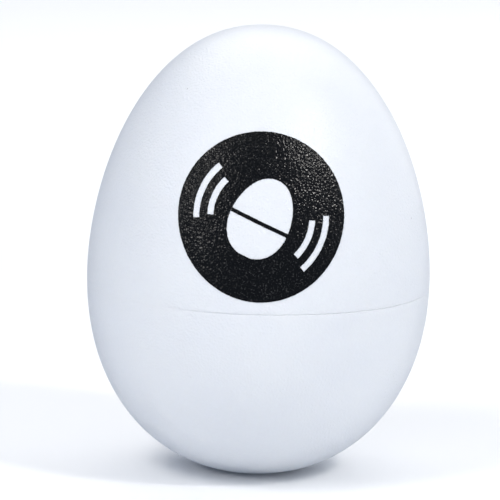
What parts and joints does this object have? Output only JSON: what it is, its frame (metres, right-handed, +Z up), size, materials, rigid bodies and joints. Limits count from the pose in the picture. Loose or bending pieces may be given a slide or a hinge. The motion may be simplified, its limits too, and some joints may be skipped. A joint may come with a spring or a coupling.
{
  "type": "egg shaker",
  "caption": "Hollow moulded plastic egg in two glued shells, with loose steel shot inside, a fine seam line and a round one-colour print; a hand-held percussion shaker.",
  "frame": {"origin": "the middle of the flat foot, on the surface that the egg stands on", "axes": "+Z is up through the egg's pointed end, -Y is the front with the print, +X is to the right seen from the front"},
  "size_m": [0.046, 0.0461, 0.06],
  "materials": {
    "shell_plastic": "cool white moulded plastic with a fine moulded grain and a soft sheen",
    "print_ink": "black printed ink that follows the plastic's grain, with small glints",
    "seam_glue": "cured clear-amber cement",
    "shot_steel": "tumbled steel balls"
  },
  "bodies": {
    "shell": {"lower_shell": "shell_plastic", "upper_shell": "shell_plastic", "seam_glue": "seam_glue", "front_print": "print_ink"},
    "shot_01": {"shot_01": "shot_steel"},
    "shot_02": {"shot_02": "shot_steel"},
    "shot_03": {"shot_03": "shot_steel"},
    "shot_04": {"shot_04": "shot_steel"},
    "shot_05": {"shot_05": "shot_steel"},
    "shot_06": {"shot_06": "shot_steel"},
    "shot_07": {"shot_07": "shot_steel"},
    "shot_08": {"shot_08": "shot_steel"},
    "shot_09": {"shot_09": "shot_steel"},
    "shot_10": {"shot_10": "shot_steel"},
    "shot_11": {"shot_11": "shot_steel"},
    "shot_12": {"shot_12": "shot_steel"},
    "shot_13": {"shot_13": "shot_steel"},
    "shot_14": {"shot_14": "shot_steel"},
    "shot_15": {"shot_15": "shot_steel"},
    "shot_16": {"shot_16": "shot_steel"},
    "shot_17": {"shot_17": "shot_steel"},
    "shot_18": {"shot_18": "shot_steel"},
    "shot_19": {"shot_19": "shot_steel"},
    "shot_20": {"shot_20": "shot_steel"},
    "shot_21": {"shot_21": "shot_steel"},
    "shot_22": {"shot_22": "shot_steel"},
    "shot_23": {"shot_23": "shot_steel"},
    "shot_24": {"shot_24": "shot_steel"},
    "shot_25": {"shot_25": "shot_steel"},
    "shot_26": {"shot_26": "shot_steel"},
    "shot_27": {"shot_27": "shot_steel"},
    "shot_28": {"shot_28": "shot_steel"},
    "shot_29": {"shot_29": "shot_steel"},
    "shot_30": {"shot_30": "shot_steel"},
    "shot_31": {"shot_31": "shot_steel"},
    "shot_32": {"shot_32": "shot_steel"},
    "shot_33": {"shot_33": "shot_steel"},
    "shot_34": {"shot_34": "shot_steel"},
    "shot_35": {"shot_35": "shot_steel"},
    "shot_36": {"shot_36": "shot_steel"},
    "shot_37": {"shot_37": "shot_steel"}
  },
  "joints": [
    {"name": "shot_swirl", "type": "hinge", "parent": "shell", "child": "shot_01", "pos_m": [0, 0, 0.0219], "axis": [0, 0, 1], "continuous": true},
    {"name": "shot_rock", "type": "hinge", "parent": "shot_01", "child": "shot_02", "pos_m": [0, 0, 0.0219], "axis": [1, 0, 0], "range_deg": [-20, 20]},
    {"name": "shot_03_jump", "type": "slide", "parent": "shot_02", "child": "shot_03", "axis": [0, 0, 1], "range_m": [0, 0.0352]},
    {"name": "shot_04_jump", "type": "slide", "parent": "shot_02", "child": "shot_04", "axis": [0, 0, 1], "range_m": [0, 0.0352]},
    {"name": "shot_05_jump", "type": "slide", "parent": "shot_02", "child": "shot_05", "axis": [0, 0, 1], "range_m": [0, 0.0321]},
    {"name": "shot_06_jump", "type": "slide", "parent": "shot_02", "child": "shot_06", "axis": [0, 0, 1], "range_m": [0, 0.0396]},
    {"name": "shot_07_jump", "type": "slide", "parent": "shot_02", "child": "shot_07", "axis": [0, 0, 1], "range_m": [0, 0.0436]},
    {"name": "shot_08_jump", "type": "slide", "parent": "shot_02", "child": "shot_08", "axis": [0, 0, 1], "range_m": [0, 0.0396]},
    {"name": "shot_09_jump", "type": "slide", "parent": "shot_02", "child": "shot_09", "axis": [0, 0, 1], "range_m": [0, 0.0321]},
    {"name": "shot_10_jump", "type": "slide", "parent": "shot_02", "child": "shot_10", "axis": [0, 0, 1], "range_m": [0, 0.0313]},
    {"name": "shot_11_jump", "type": "slide", "parent": "shot_02", "child": "shot_11", "axis": [0, 0, 1], "range_m": [0, 0.0402]},
    {"name": "shot_12_jump", "type": "slide", "parent": "shot_02", "child": "shot_12", "axis": [0, 0, 1], "range_m": [0, 0.0204]},
    {"name": "shot_13_jump", "type": "slide", "parent": "shot_02", "child": "shot_13", "axis": [0, 0, 1], "range_m": [0, 0.0204]},
    {"name": "shot_14_jump", "type": "slide", "parent": "shot_02", "child": "shot_14", "axis": [0, 0, 1], "range_m": [0, 0.0402]},
    {"name": "shot_15_jump", "type": "slide", "parent": "shot_02", "child": "shot_15", "axis": [0, 0, 1], "range_m": [0, 0.0313]},
    {"name": "shot_16_jump", "type": "slide", "parent": "shot_02", "child": "shot_16", "axis": [0, 0, 1], "range_m": [0, 0.0375]},
    {"name": "shot_17_jump", "type": "slide", "parent": "shot_02", "child": "shot_17", "axis": [0, 0, 1], "range_m": [0, 0.0199]},
    {"name": "shot_18_jump", "type": "slide", "parent": "shot_02", "child": "shot_18", "axis": [0, 0, 1], "range_m": [0, 0.0199]},
    {"name": "shot_19_jump", "type": "slide", "parent": "shot_02", "child": "shot_19", "axis": [0, 0, 1], "range_m": [0, 0.0375]},
    {"name": "shot_20_jump", "type": "slide", "parent": "shot_02", "child": "shot_20", "axis": [0, 0, 1], "range_m": [0, 0.0313]},
    {"name": "shot_21_jump", "type": "slide", "parent": "shot_02", "child": "shot_21", "axis": [0, 0, 1], "range_m": [0, 0.0402]},
    {"name": "shot_22_jump", "type": "slide", "parent": "shot_02", "child": "shot_22", "axis": [0, 0, 1], "range_m": [0, 0.0204]},
    {"name": "shot_23_jump", "type": "slide", "parent": "shot_02", "child": "shot_23", "axis": [0, 0, 1], "range_m": [0, 0.0204]},
    {"name": "shot_24_jump", "type": "slide", "parent": "shot_02", "child": "shot_24", "axis": [0, 0, 1], "range_m": [0, 0.0402]},
    {"name": "shot_25_jump", "type": "slide", "parent": "shot_02", "child": "shot_25", "axis": [0, 0, 1], "range_m": [0, 0.0313]},
    {"name": "shot_26_jump", "type": "slide", "parent": "shot_02", "child": "shot_26", "axis": [0, 0, 1], "range_m": [0, 0.0321]},
    {"name": "shot_27_jump", "type": "slide", "parent": "shot_02", "child": "shot_27", "axis": [0, 0, 1], "range_m": [0, 0.0396]},
    {"name": "shot_28_jump", "type": "slide", "parent": "shot_02", "child": "shot_28", "axis": [0, 0, 1], "range_m": [0, 0.0436]},
    {"name": "shot_29_jump", "type": "slide", "parent": "shot_02", "child": "shot_29", "axis": [0, 0, 1], "range_m": [0, 0.0396]},
    {"name": "shot_30_jump", "type": "slide", "parent": "shot_02", "child": "shot_30", "axis": [0, 0, 1], "range_m": [0, 0.0321]},
    {"name": "shot_31_jump", "type": "slide", "parent": "shot_02", "child": "shot_31", "axis": [0, 0, 1], "range_m": [0, 0.0437]},
    {"name": "shot_32_jump", "type": "slide", "parent": "shot_12", "child": "shot_32", "axis": [0, 0, 1], "range_m": [0, 0.0204]},
    {"name": "shot_33_jump", "type": "slide", "parent": "shot_13", "child": "shot_33", "axis": [0, 0, 1], "range_m": [0, 0.0204]},
    {"name": "shot_34_jump", "type": "slide", "parent": "shot_17", "child": "shot_34", "axis": [0, 0, 1], "range_m": [0, 0.0199]},
    {"name": "shot_35_jump", "type": "slide", "parent": "shot_18", "child": "shot_35", "axis": [0, 0, 1], "range_m": [0, 0.0199]},
    {"name": "shot_36_jump", "type": "slide", "parent": "shot_22", "child": "shot_36", "axis": [0, 0, 1], "range_m": [0, 0.0204]},
    {"name": "shot_37_jump", "type": "slide", "parent": "shot_23", "child": "shot_37", "axis": [0, 0, 1], "range_m": [0, 0.0204]}
  ]
}
